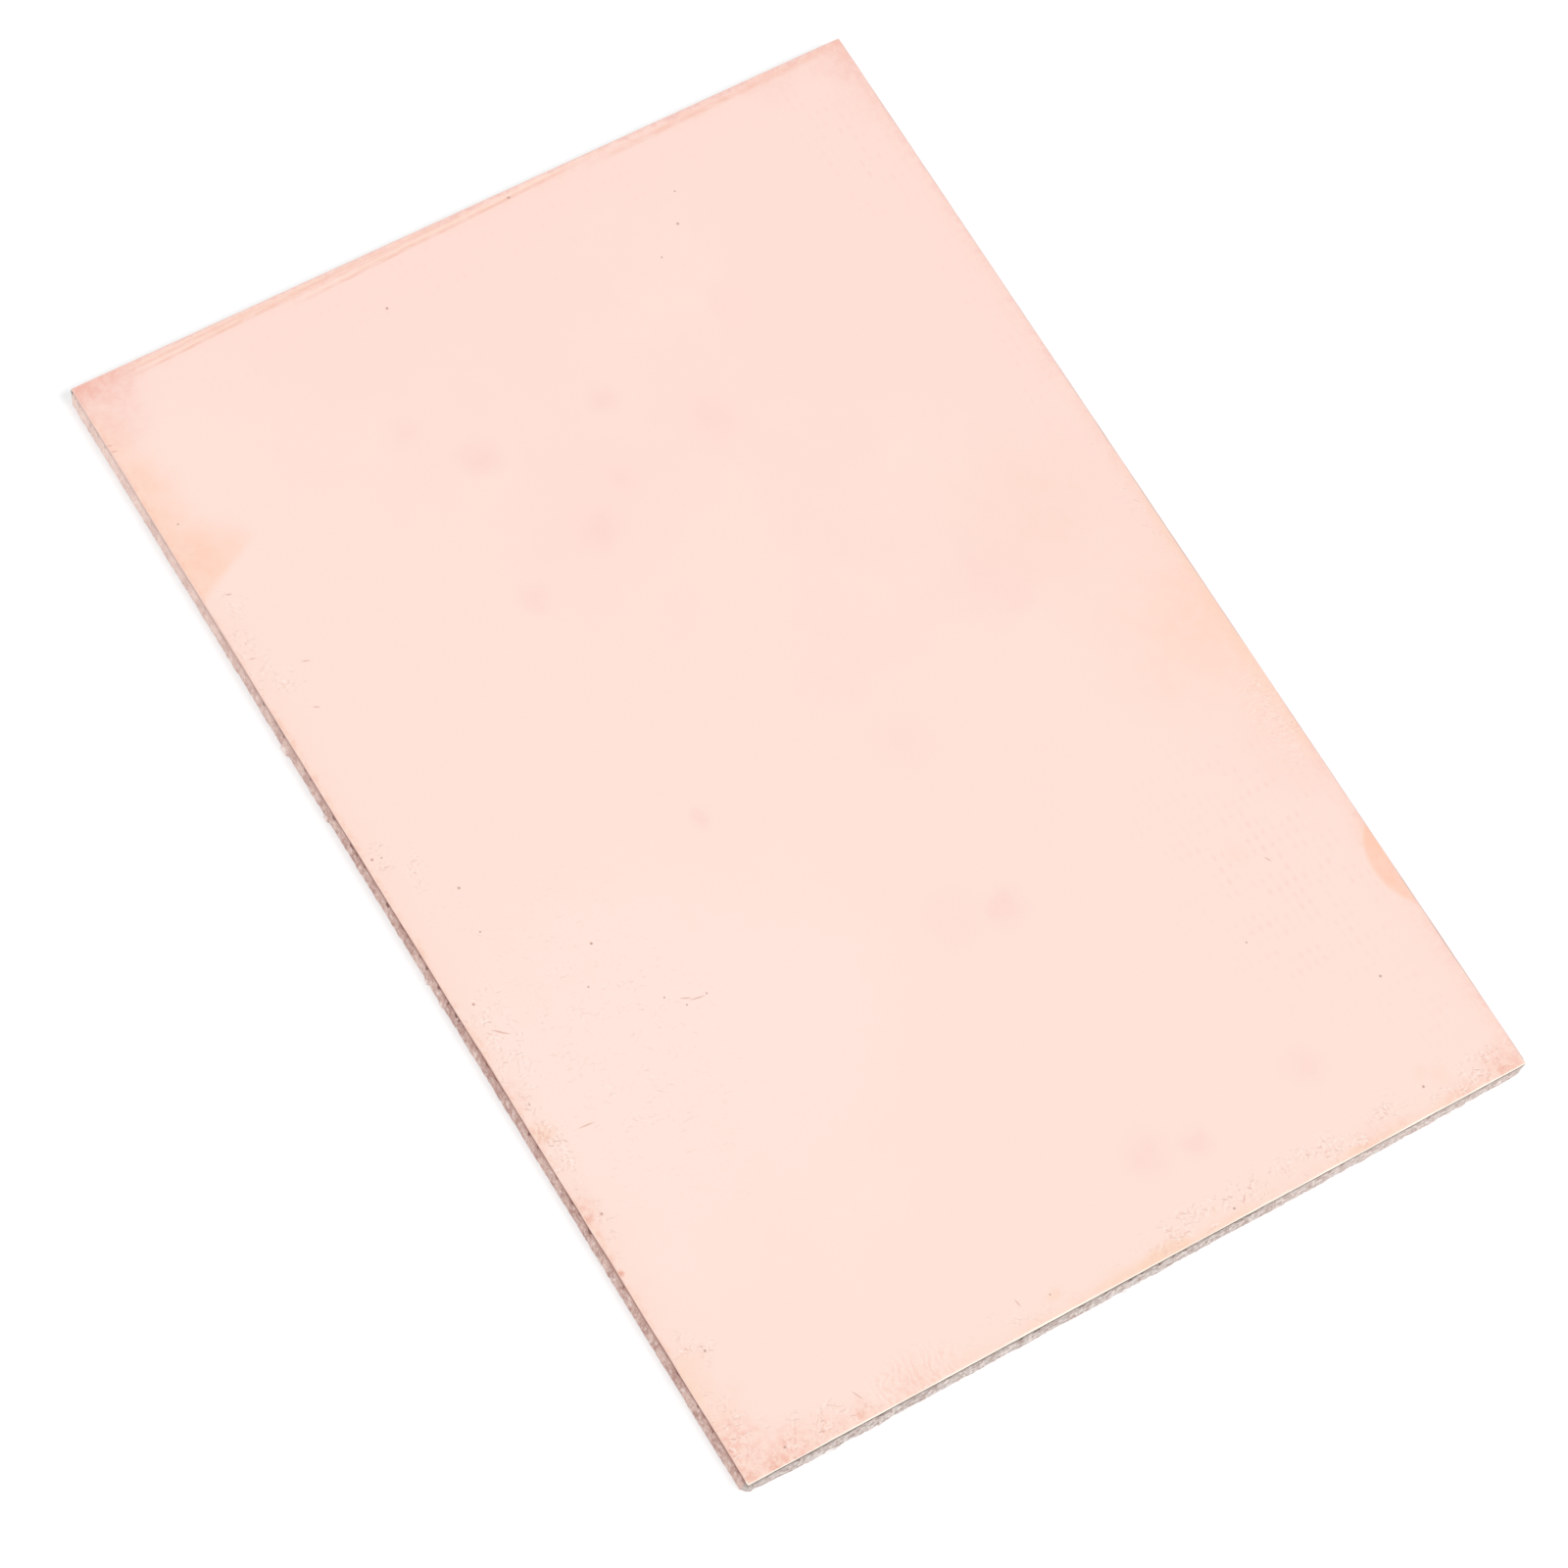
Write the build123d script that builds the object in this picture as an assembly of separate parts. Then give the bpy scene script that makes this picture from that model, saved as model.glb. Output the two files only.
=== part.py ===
from build123d import *
import os

# A blank of copper clad board: a glass-epoxy laminate with copper foil bonded to its upper face.
# It was cut to size on a guillotine, and its four edges show that cut:
#   the blade draws the foil down over the rim, then shears an upright band,
#   and below that band the laminate breaks away along a leaning face.
# Millimetres, +Z up, resting on Z = 0. The origin is below the middle of the copper face.
# X runs the long way. The front end is at +X, the back end at -X,
# the left side at -Y and the right side at +Y.

# Overall sizes, the outline being that of the copper face
board_length = 100.0
board_width = 70.0
board_thickness = 1.6
foil_thickness = 0.035

# The rim that the blade draws down
roll_reach = 0.30
roll_depth = 0.05

# The upright band below the rim, and the broken lower corner
sheared_band = 0.35
arris_height = 0.12
arris_reach = 0.07

# How far the tips of the break reach out at the foot of each edge, or in where it is negative.
# Opposite edges lean the same way, since the blade always falls on the same hand.
front_lean = 0.42
back_lean = -0.20
left_lean_at_front = 0.42
left_lean_at_back = 0.25
right_lean_at_front = 0.08
right_lean_at_back = -0.06

# Torn lumps of resin and glass that stand out from the foot of the left side:
# place along X, half of their length, and how far they stand out.
# Each is a low cone, and its top is a share of the radius that lies inside the sheet.
left_lumps = ((-16.6, 0.50, 0.14), (-10.3, 0.32, 0.12), (4.65, 0.28, 0.08), (6.8, 0.25, 0.06))
lump_height = 0.50
lump_top_share = 0.35

# Corners knocked off the foot of the laminate: how far each cut runs along both edges, and up
front_left_knock = 0.45
front_right_knock = 0.60
back_left_knock = 0.25
knock_height = 0.90

# Worked out from the sizes above
half_length = board_length / 2
half_width = board_width / 2
rim_height = board_thickness - roll_depth
break_height = rim_height - foil_thickness - sheared_band


def slab_section(half_span, low_lean, high_lean, top, run_on=0.0):
    """Outline of the board cut across, with its drawn rims and leaning breaks, up to the given top.

    With a run_on, the broken lower corners run on below the underside by that much.
    """
    rim = top - roll_depth
    low_foot = -half_span - low_lean
    high_foot = half_span + high_lean
    arris_run = arris_reach * (arris_height + run_on) / arris_height
    with BuildSketch() as section:
        with BuildLine():
            flat = Line((-half_span + roll_reach, top), (half_span - roll_reach, top))
            high_roll = TangentArc(flat @ 1, (half_span, rim), tangent=(1, 0))
            high_side = Polyline(
                high_roll @ 1,
                (half_span, break_height),
                (high_foot, arris_height),
                (high_foot - arris_run, -run_on),
            )
            bottom = Line(high_side @ 1, (low_foot + arris_run, -run_on))
            low_side = Polyline(
                bottom @ 1,
                (low_foot, arris_height),
                (-half_span, break_height),
                (-half_span, rim),
            )
            TangentArc(flat @ 0, low_side @ 1, tangent=(-1, 0))
        make_face()
    return section.sketch


def across_plane(x):
    """Plane whose own X runs along the board's Y and whose own Y runs up."""
    return Plane(origin=(x, 0, 0), x_dir=(0, 1, 0), z_dir=(1, 0, 0))


def along_plane(y):
    """Plane whose own X runs along the board's X and whose own Y runs up."""
    return Plane(origin=(0, y, 0), x_dir=(1, 0, 0), z_dir=(0, -1, 0))


def slab(top):
    """The sheared blank up to the given top: what its two crossing sections share."""
    past_ends = half_length + max(front_lean, back_lean) + board_thickness
    past_sides = half_width + board_thickness
    back_share = 0.5 - past_ends / board_length
    front_share = 0.5 + past_ends / board_length

    def lean_at(share, lean_at_back, lean_at_front):
        return lean_at_back + share * (lean_at_front - lean_at_back)

    ends = []
    for x, share in ((-past_ends, back_share), (past_ends, front_share)):
        left = lean_at(share, left_lean_at_back, left_lean_at_front)
        right = lean_at(share, right_lean_at_back, right_lean_at_front)
        section = slab_section(half_width, left, right, top, run_on=arris_height)
        ends.append(across_plane(x) * section)
    lengthways = loft(ends, ruled=True)
    crossways = extrude(
        along_plane(past_sides) * slab_section(half_length, back_lean, front_lean, top),
        amount=2 * past_sides,
    )
    return lengthways & crossways


def corner_knock(x_side, y_side, x_lean, y_lean, knock):
    """Wedge that takes the foot off one corner, cut by a plane that leans in toward the bottom."""
    foot = Vector(x_side * (half_length + x_lean), y_side * (half_width + y_lean), 0)
    along_x = foot - Vector(x_side * knock, 0, 0)
    along_y = foot - Vector(0, y_side * knock, 0)
    up = foot + Vector(0, 0, knock_height)
    cut = Plane(Face(Wire.make_polygon([along_x, along_y, up], close=True)))
    outward = Vector(x_side, y_side, 0)
    if cut.z_dir.dot(outward) < 0:
        cut = Plane(origin=cut.origin, x_dir=cut.x_dir, z_dir=-cut.z_dir)
    reach = 4 * max(knock, knock_height)
    return cut * Box(reach, reach, reach, align=(Align.CENTER, Align.CENTER, Align.MIN))


def torn_lump(x, half_span, reach):
    """Low tapering lump on the foot of the left side, most of it inside the sheet."""
    share = (x + half_length) / board_length
    lean = left_lean_at_back + share * (left_lean_at_front - left_lean_at_back)
    radius = (half_span**2 + reach**2) / (2 * reach)
    middle_y = -half_width - lean - reach + radius
    lump = Cone(
        bottom_radius=radius,
        top_radius=(radius - reach) * lump_top_share,
        height=lump_height,
        align=(Align.CENTER, Align.CENTER, Align.MIN),
    )
    return Pos(x, middle_y, 0) * lump


def laminate():
    """The glass-epoxy sheet under the foil, with its torn lumps and knocked corners."""
    sheet = slab(board_thickness - foil_thickness)
    for x, half_span, reach in left_lumps:
        sheet += torn_lump(x, half_span, reach)
    sheet -= corner_knock(1, -1, front_lean, left_lean_at_front, front_left_knock)
    sheet -= corner_knock(1, 1, front_lean, right_lean_at_front, front_right_knock)
    sheet -= corner_knock(-1, -1, back_lean, left_lean_at_back, back_left_knock)
    return sheet


def copper_foil():
    """The foil: the top of the full slab that stands above the laminate."""
    return slab(board_thickness) - slab(board_thickness - foil_thickness)


os.makedirs("parts", exist_ok=True)
export_step(laminate(), "parts/laminate.step")
export_step(copper_foil(), "parts/copper_foil.step")
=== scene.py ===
import math
from functools import partial

import bmesh
import bpy
from mathutils import Matrix, Vector, noise


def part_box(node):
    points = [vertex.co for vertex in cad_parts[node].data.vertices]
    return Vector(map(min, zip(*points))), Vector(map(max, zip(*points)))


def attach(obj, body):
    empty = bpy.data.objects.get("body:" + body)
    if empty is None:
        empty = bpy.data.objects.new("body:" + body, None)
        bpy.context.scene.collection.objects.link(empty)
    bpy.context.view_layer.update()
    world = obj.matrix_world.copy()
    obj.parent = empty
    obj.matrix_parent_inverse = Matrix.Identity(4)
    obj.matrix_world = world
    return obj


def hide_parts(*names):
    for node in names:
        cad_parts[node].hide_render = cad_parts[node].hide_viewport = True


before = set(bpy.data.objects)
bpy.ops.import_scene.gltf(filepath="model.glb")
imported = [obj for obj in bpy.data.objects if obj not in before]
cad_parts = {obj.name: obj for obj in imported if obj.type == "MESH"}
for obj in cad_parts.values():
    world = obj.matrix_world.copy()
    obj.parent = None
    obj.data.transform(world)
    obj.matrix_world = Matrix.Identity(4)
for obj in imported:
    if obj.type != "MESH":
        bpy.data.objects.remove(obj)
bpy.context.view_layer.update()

# Copper clad board: a bright copper foil on a sheet of glass-epoxy laminate, cut on a guillotine.
# Metres, in the CAD's own frame. The foil faces up and the long way is X.
# Front end +X, back end -X, left side -Y, right side +Y; the camera sees the front end and left side.

foilLow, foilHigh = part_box("copper_foil")
mm = 0.001

halfX = (foilHigh.x - foilLow.x) / 2
halfY = (foilHigh.y - foilLow.y) / 2
topZ = foilHigh.z
foilThickness = 0.035 * mm
print("frame loaded, board", *[round(size / mm, 2) for size in (halfX * 2, halfY * 2, topZ)], "mm")


# The guillotined edge, which the foil and the laminate share

edgeShape = dict(
    pitch=0.125 * mm,       # spacing of the points along the edge
    rollReach=0.30 * mm,    # how far in from the edge the foil is drawn down
    rollDepth=0.05 * mm,
    rollDrift=0.35,         # share by which reach and depth change along the edge
    rollDriftPitch=3.5 * mm,
    wander=0.03 * mm,       # how far the cut strays inward from a straight line
    wanderParts=((7 * mm, 0.7, 0), (1.1 * mm, 0.6, 5)),     # scale, share and step of the seed
    seed=11.0,
    fewest=100,             # points left round the flat middle of a face
    firstGap=0.2 * mm,      # between the rings there, and twice as much each time
)


def edgeNoise(home, scale, shift, height=0.0):
    # smooth noise from -1 to 1 that follows the outline, scale in metres
    return noise.noise(Vector((home.x / scale + shift, home.y / scale - shift, height + shift * 0.37)))


def outward(home):
    # which way is out at a point of the outline, both ways at a corner
    wayX = math.copysign(1, home.x) if abs(home.x) > halfX - 1e-6 else 0
    wayY = math.copysign(1, home.y) if abs(home.y) > halfY - 1e-6 else 0
    return Vector((wayX, wayY, 0))


def cutWander(home):
    stray = sum(share * edgeNoise(home, scale, edgeShape["seed"] + step)
                for scale, share, step in edgeShape["wanderParts"])
    return -edgeShape["wander"] * min(1, abs(stray))


def rimDrop(home, inset):
    # how far the foil has sunk at this distance in from the edge
    drift = 1 + edgeShape["rollDrift"] * edgeNoise(home, edgeShape["rollDriftPitch"], edgeShape["seed"] + 9)
    share = max(0, 1 - inset / (edgeShape["rollReach"] * drift))
    return edgeShape["rollDepth"] * drift * share * share


def homeAt(run):
    # the point of the straight outline at this distance round it
    ways = ((-1, -1), (1, -1), (1, 1), (-1, 1), (-1, -1))
    corners = [Vector((wayX * halfX, wayY * halfY, 0)) for wayX, wayY in ways]
    for start, end in zip(corners, corners[1:]):
        length = (end - start).length
        if run < length:
            return start.lerp(end, run / length)
        run -= length
    return corners[0]


def startOutline():
    # a ring of many points on the straight outline, each remembering its home and its number
    mesh = bmesh.new()
    count = round(4 * (halfX + halfY) / edgeShape["pitch"])
    bmesh.ops.create_circle(mesh, segments=count, radius=halfY)
    homes = mesh.verts.layers.float_vector.new("home")
    steps = mesh.verts.layers.int.new("step")
    for step, vert in enumerate(mesh.verts):
        vert[homes] = vert.co = homeAt(step * edgeShape["pitch"])
        vert[steps] = step
    return mesh, homes, steps


def nextRing(mesh, ring, homes, pointAt, at):
    # extrudes a ring of edges to where pointAt says, and gives the new edges and vertices
    made = bmesh.ops.extrude_edge_only(mesh, edges=ring)["geom"]
    verts = [part for part in made if isinstance(part, bmesh.types.BMVert)]
    ends = set(verts)
    edges = [part for part in made if isinstance(part, bmesh.types.BMEdge) and ends.issuperset(part.verts)]
    for vert in verts:
        vert.co = pointAt(vert[homes], at)
    return edges, verts


def closeFace(mesh, ring, homes, steps, inset, pointAt):
    # carries a ring inward, halving its points each time, and closes the flat middle with one face
    stride = 1
    gap = edgeShape["firstGap"]
    while len(ring) > edgeShape["fewest"]:
        inset += gap
        gap *= 2
        ring, verts = nextRing(mesh, ring, homes, pointAt, inset)
        byStep = {vert[steps]: vert for vert in verts}
        spare = [vert for vert in verts if vert[steps] // stride % 2]
        bmesh.ops.weld_verts(mesh, targetmap={vert: byStep[vert[steps] - stride] for vert in spare})
        kept = {vert for vert in verts if vert.is_valid}
        ring = [edge for edge in mesh.edges if edge.is_boundary and kept.issuperset(edge.verts)]
        stride *= 2
    bmesh.ops.contextual_create(mesh, geom=ring)


def finishPiece(mesh, name, sharpAngle):
    bmesh.ops.recalc_face_normals(mesh, faces=mesh.faces)
    for face in mesh.faces:
        face.smooth = True
    data = bpy.data.meshes.new(name)
    mesh.to_mesh(data)
    mesh.free()
    data.set_sharp_from_angle(angle=math.radians(sharpAngle))
    piece = bpy.data.objects.new(name, data)
    bpy.context.scene.collection.objects.link(piece)
    return piece


# Copper foil: flat in the middle, drawn down over the rim by the blade

foilSettings = dict(
    rings=(0.04, 0.09, 0.15, 0.22, 0.31, 0.42, 0.8),    # mm in from the edge
    corner=0.08 * mm,                                   # how round the foil's corners are
    sharpAngle=50,
)


def foilPoint(home, inset):
    out = outward(home)
    fade = max(0, 1 - inset / (foilSettings["rings"][-1] * mm))
    step = out * cutWander(home) * fade
    x = home.x * (1 - inset / halfX) + step.x
    y = home.y * (1 - inset / halfY) + step.y
    return roundOff(Vector((x, y, topZ - rimDrop(home, inset))), foilSettings["corner"], inset, Vector())


def roundOff(point, radius, inset, lean):
    # brings a point near one of the outline's corners in to a round corner
    way = Vector((math.copysign(1, point.x), math.copysign(1, point.y), 0))
    centre = Vector((way.x * (halfX - inset - radius), way.y * (halfY - inset - radius), 0)) + lean
    away = Vector((point.x - centre.x, point.y - centre.y, 0))
    if away.x * way.x > 0 and away.y * way.y > 0 and away.length > radius:
        away *= radius / away.length
        return Vector((centre.x + away.x, centre.y + away.y, point.z))
    return point


def makeFoil():
    mesh, homes, steps = startOutline()
    ring = mesh.edges[:]
    for vert in mesh.verts:
        vert.co = foilPoint(vert[homes], 0)
    for inset in foilSettings["rings"]:
        ring, verts = nextRing(mesh, ring, homes, foilPoint, inset * mm)
    closeFace(mesh, ring, homes, steps, foilSettings["rings"][-1] * mm, foilPoint)
    lifted = bmesh.ops.extrude_face_region(mesh, geom=mesh.faces[:])["geom"]
    under = [part for part in lifted if isinstance(part, bmesh.types.BMVert)]
    bmesh.ops.translate(mesh, vec=(0, 0, -foilThickness), verts=under)
    return finishPiece(mesh, "copperFoil", foilSettings["sharpAngle"])


foil = makeFoil()
print("foil made,", len(foil.data.polygons), "faces")


# Laminate: upright where the blade sheared it, torn along a leaning face below

laminateSettings = dict(
    levels=22,  # rings of points from under the foil to the foot
    breakHeight=1.165 * mm,
    arrisHeight=0.12 * mm,
    arrisReach=0.07 * mm,
    frontLean=0.42 * mm,  # how far the tips of the tear reach out
    backLean=-0.20 * mm,
    leftLean=(0.25 * mm, 0.42 * mm),  # at the back end, at the front end
    rightLean=(-0.06 * mm, 0.08 * mm),
    # how far the tear falls short of its tips all along, and the reach of its slow, steep-sided waves
    shortfall=dict(front=0.015 * mm, back=0.015 * mm, left=0.07 * mm, right=0.015 * mm),
    waves=dict(front=0.13 * mm, back=0.09 * mm, left=0.055 * mm, right=0.08 * mm),
    wavePitch=1.0 * mm,
    waveDrift=(2.3 * mm, 1.4),  # scale and size of the change in their spacing
    waveCurve=1.5,
    waveSize=(0.15, 0.75),  # least size of a wave, and how much chance adds
    waveShare=0.6,
    swellPitch=4 * mm,  # the waves ride on a slower swell
    swellShare=0.55,
    frontBow=0.18 * mm,  # more falls short toward the corners of the front end
    frontBowFrom=(0.80, 0.30),  # where that starts on the way to the left and right corner
    frontBowCurve=1.5,
    # tufts of the cut glass yarns, then torn strands: spacing along the edge and up it, reach,
    # share of the reach at the top of the tear, how peaked, step of the seed
    glass=((0.32 * mm, 0.25 * mm, 0.09 * mm, 0.15, 1, 6), (0.17 * mm, 0.50 * mm, 0.06 * mm, 0.10, 2, 3)),
    # place along the left side, half length, how far out, in mm
    lumps=((-16.6, 0.5, 0.14), (-10.3, 0.32, 0.12), (4.65, 0.28, 0.08), (6.8, 0.25, 0.06)),
    lumpHeight=0.55 * mm,
    lumpTaper=0.6,
    lumpKnobs=(0.2 * mm, 0.25),  # spacing, and share of the reach
    lumpHides=(0.05 * mm, 0.8),  # from this reach up, a lump hides so much of the tear
    undersideInset=0.6 * mm,  # where the underside's first ring lies
    corners={(1, -1): 0.32 * mm, (1, 1): 0.36 * mm, (-1, -1): 0.36 * mm, (-1, 1): 0.20 * mm},
    seed=23.0,
    sharpAngle=40,
)


def sideName(out):
    if out.x:
        return "front" if out.x > 0 else "back"
    return "left" if out.y < 0 else "right"


def tipLean(home, out):
    # the lean of the torn tips at this point of the outline, as a step in x and y
    settings = laminateSettings
    share = min(1, max(0, (home.x + halfX) / (2 * halfX)))
    leanX = settings["frontLean"] if out.x > 0 else settings["backLean"]
    ends = settings["rightLean"] if out.y > 0 else settings["leftLean"]
    leanY = ends[0] + (ends[1] - ends[0]) * share
    return Vector((out.x * leanX, out.y * leanY, 0))


def tornDepth(home, out, height, torn):
    # how far the tear falls short of its tips
    settings = laminateSettings
    seed = settings["seed"]
    side = sideName(out)
    driftPitch, drift = settings["waveDrift"]
    phase = (home.x + home.y) / settings["wavePitch"] + drift * edgeNoise(home, driftPitch, seed)
    cell = math.floor(phase)
    rise = (phase - cell) ** settings["waveCurve"]
    chance = noise.cell(Vector((cell + 0.5, seed, out.x * 3 + out.y * 5 + 0.5)))    # another one on each side
    least, more = settings["waveSize"]
    swell = 0.5 + 0.5 * edgeNoise(home, settings["swellPitch"], seed + 31)
    wave = settings["swellShare"] * swell + (1 - rise) * (least + more * chance) * settings["waveShare"]
    wave = min(1, wave)
    depth = (settings["shortfall"][side] + settings["waves"][side] * wave) * torn
    if side == "front":
        start = settings["frontBowFrom"][home.y > 0]
        bow = max(0, (abs(home.y) / halfY - start) / (1 - start))
        depth += settings["frontBow"] * bow ** settings["frontBowCurve"] * torn
    for pitch, upPitch, reach, least, peak, step in settings["glass"]:
        strand = 0.5 + 0.5 * edgeNoise(home, pitch, seed + step, height / upPitch)
        depth += reach * strand ** peak * (least + (1 - least) * torn)
    return depth


def lumpReach(home, height):
    # the torn lumps on the foot of the left side
    settings = laminateSettings
    pitch, share = settings["lumpKnobs"]
    reach = 0
    for x, halfSpan, size in settings["lumps"]:
        away = abs(home.x / mm - x) / halfSpan
        if away < 1:
            knob = 1 - share + share * edgeNoise(home, pitch, settings["seed"] + 12, height / pitch)
            reach = size * mm * math.sqrt(1 - away * away) * knob
    return reach * max(0, 1 - height / settings["lumpHeight"]) ** settings["lumpTaper"]


def laminatePoint(home, height):
    settings = laminateSettings
    out = outward(home)
    torn = (settings["breakHeight"] - height) / (settings["breakHeight"] - settings["arrisHeight"])
    torn = min(1, max(0, torn))
    tuck = max(0, 1 - height / settings["arrisHeight"]) * settings["arrisReach"]
    depth = tornDepth(home, out, height, torn)
    if out.y < 0 and not out.x:
        lump = lumpReach(home, height)
        hidesFrom, hides = settings["lumpHides"]
        depth -= lump + min(1, lump / hidesFrom) * depth * hides
    step = tipLean(home, out) * torn + out * (cutWander(home) - depth - tuck)
    point = Vector((home.x + step.x, home.y + step.y, height))
    way = Vector((math.copysign(1, point.x), math.copysign(1, point.y), 0))
    corner = Vector((way.x * halfX, way.y * halfY, 0))
    reach = way * (cutWander(corner) - tornDepth(corner, way, height, torn))
    radius = foilSettings["corner"] + settings["corners"][int(way.x), int(way.y)] * math.sqrt(torn)
    return roundOff(point, radius, tuck, tipLean(corner, way) * torn + reach)


def undersidePoint(home, inset):
    return Vector((home.x * (1 - inset / halfX), home.y * (1 - inset / halfY), 0))


def underFoilPoint(home, inset):
    return foilPoint(home, inset) - Vector((0, 0, foilThickness))


def makeLaminate():
    mesh, homes, steps = startOutline()
    top = mesh.edges[:]
    for vert in mesh.verts:
        vert.co = underFoilPoint(vert[homes], 0)
    sideTop = topZ - edgeShape["rollDepth"] * (1 + edgeShape["rollDrift"]) - foilThickness
    ring = top
    levels = laminateSettings["levels"]
    for level in range(levels):
        ring, verts = nextRing(mesh, ring, homes, laminatePoint, sideTop * (1 - (level + 1) / levels))
    closeFace(mesh, ring, homes, steps, laminateSettings["undersideInset"], undersidePoint)
    ring = top
    for inset in foilSettings["rings"][2::2]:   # every other ring is enough under the foil
        ring, verts = nextRing(mesh, ring, homes, underFoilPoint, inset * mm)
    closeFace(mesh, ring, homes, steps, foilSettings["rings"][-1] * mm, underFoilPoint)
    return finishPiece(mesh, "laminateSheet", laminateSettings["sharpAngle"])


laminate = makeLaminate()
print("laminate made,", len(laminate.data.polygons), "faces")


# Loose glass fibres that the cut pulled out of the front end

fibreSettings = dict(
    thickness=0.028 * mm,
    sides=6,
    rings=10,
    # y and height where the fibre leaves the tear, y and reach past the outline of its free end, in mm
    fibres=(
        (-25.7, 0.42, -28.2, 0.39), (-25.9, 0.36, -27.6, 0.39), (-22.9, 0.5, -24.4, 0.38),
        (-22.7, 0.44, -23.7, 0.39), (-2.9, 0.4, -1.6, 0.39), (-2.7, 0.34, -1.7, 0.39),
        (-30.2, 0.3, -29.6, 0.36), (13.6, 0.45, 14.5, 0.38), (-17.2, 0.3, -16.5, 0.39),
        (28.4, 0.4, 27.7, 0.34),
    ),
    startReach=0.06 * mm,
    endHeight=0.03 * mm,
    bow=Vector((0.05 * mm, 0, 0.05 * mm)),
    sharpAngle=60,
)


def makeFibres():
    settings = fibreSettings
    mesh = bmesh.new()
    for startY, startZ, endY, reach in settings["fibres"]:
        made = bmesh.ops.create_circle(
            mesh, segments=settings["sides"], radius=settings["thickness"] / 2, cap_ends=True)["verts"]
        start = Vector((halfX + settings["startReach"], startY * mm, startZ * mm))
        end = Vector((halfX + reach * mm, endY * mm, settings["endHeight"]))
        turn = (end - start).to_track_quat("Z", "Y").to_matrix()
        bmesh.ops.rotate(mesh, verts=made, matrix=turn)
        bmesh.ops.translate(mesh, verts=made, vec=start)
        cap = made[0].link_faces[0]
        rings = settings["rings"]
        for ring in range(rings):
            cap = bmesh.ops.extrude_discrete_faces(mesh, faces=[cap])["faces"][0]
            rise = math.sin(math.pi * (ring + 1) / rings) - math.sin(math.pi * ring / rings)
            bmesh.ops.translate(mesh, verts=cap.verts, vec=(end - start) / rings + settings["bow"] * rise)
    bmesh.ops.holes_fill(mesh, edges=mesh.edges[:], sides=settings["sides"])
    return finishPiece(mesh, "looseFibres", settings["sharpAngle"])


fibres = makeFibres()
print("fibres made,", len(fibres.data.polygons), "faces")


# Materials

def toLinear(hexColour):
    # sRGB hex to linear, as a colour socket takes it
    parts = [int(hexColour[i:i + 2], 16) / 255 for i in (1, 3, 5)]
    return tuple(p / 12.92 if p <= 0.04045 else ((p + 0.055) / 1.055) ** 2.4 for p in parts) + (1,)


def addNode(tree, kind, *feeds, named=None, **settings):
    # adds a node; feeds are nodes, sockets, hex colours or values for its inputs in order, None for no feed
    node = tree.nodes.new("ShaderNode" + kind)
    for name, value in settings.items():
        setattr(node, name, value)
    places = list(zip([socket for socket in node.inputs if socket.enabled], feeds))
    places += [(node.inputs[name], feed) for name, feed in (named or {}).items()]
    for socket, feed in places:
        if isinstance(feed, bpy.types.Node):
            feed = next(output for output in feed.outputs if output.enabled)
        if isinstance(feed, bpy.types.NodeSocket):
            tree.links.new(feed, socket)
        elif feed is not None:
            socket.default_value = toLinear(feed) if isinstance(feed, str) else feed
    return node


def emptyTree(owner):
    # clears a material's or a world's nodes and gives the function that adds new ones to it
    owner.use_nodes = True
    owner.node_tree.nodes.clear()
    return partial(addNode, owner.node_tree)


def boardPlace(add):
    # the point in mm, its three parts, and how far the surface faces up
    coords = add("TexCoord")
    place = add("VectorMath", coords.outputs["Object"], (1 / mm, 1 / mm, 1 / mm), operation="MULTIPLY")
    split, facing = [add("SeparateXYZ", part) for part in (place, coords.outputs["Normal"])]
    return place, [split.outputs[name] for name in "XYZ"], facing.outputs["Z"]


smooth = dict(interpolation_type="SMOOTHSTEP")     # for a range that starts and ends softly


def layColours(add, colour, layers):
    # lays colours over each other, each through its mask
    for mask, tint in layers:
        colour = add("Mix", mask, colour, tint, data_type="RGBA")
    return colour


def joinMasks(add, masks, operation="MAXIMUM"):
    # the strongest of several masks
    joined = masks[0]
    for mask in masks[1:]:
        joined = add("Math", joined, mask, operation=operation)
    return joined


def product(add, *masks):
    # what several masks leave of each other
    return joinMasks(add, masks, "MULTIPLY")


def spotMask(add, place, x, y, radius, blur, strength):
    # a round mark, full in the middle and blurred at the rim
    away = add("VectorMath", place, (x, y, 0), operation="DISTANCE")
    return add("MapRange", away, radius, radius * (1 - blur), 0.0, strength, **smooth)


zoneRim = (1.3, 0.3)    # where a soft ellipse starts and is full, as shares of its size


def zoneMask(add, place, zones):
    # soft ellipses, joined
    masks = []
    for x, y, halfLength, halfWidth, strength in zones:
        grow, shift = (1 / halfLength, 1 / halfWidth, 0), (-x / halfLength, -y / halfWidth, 0)
        spot = add("VectorMath", place, grow, shift, operation="MULTIPLY_ADD")
        spot = add("VectorMath", spot, operation="LENGTH")
        masks.append(add("MapRange", spot, *zoneRim, 0.0, strength, **smooth))
    return joinMasks(add, masks)


def stretchedNoise(add, place, perMm, detail, roughness, **settings):
    # noise with a number of marks per mm for each way
    spot = add("VectorMath", place, perMm, operation="MULTIPLY")
    return add("TexNoise", spot, 1.0, detail, roughness, **settings)


def sineRows(add, along, pitch):
    # rises and falls once in each pitch
    phase = add("Math", along, 2 * math.pi / pitch, operation="MULTIPLY")
    return add("Math", phase, operation="SINE")


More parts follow.
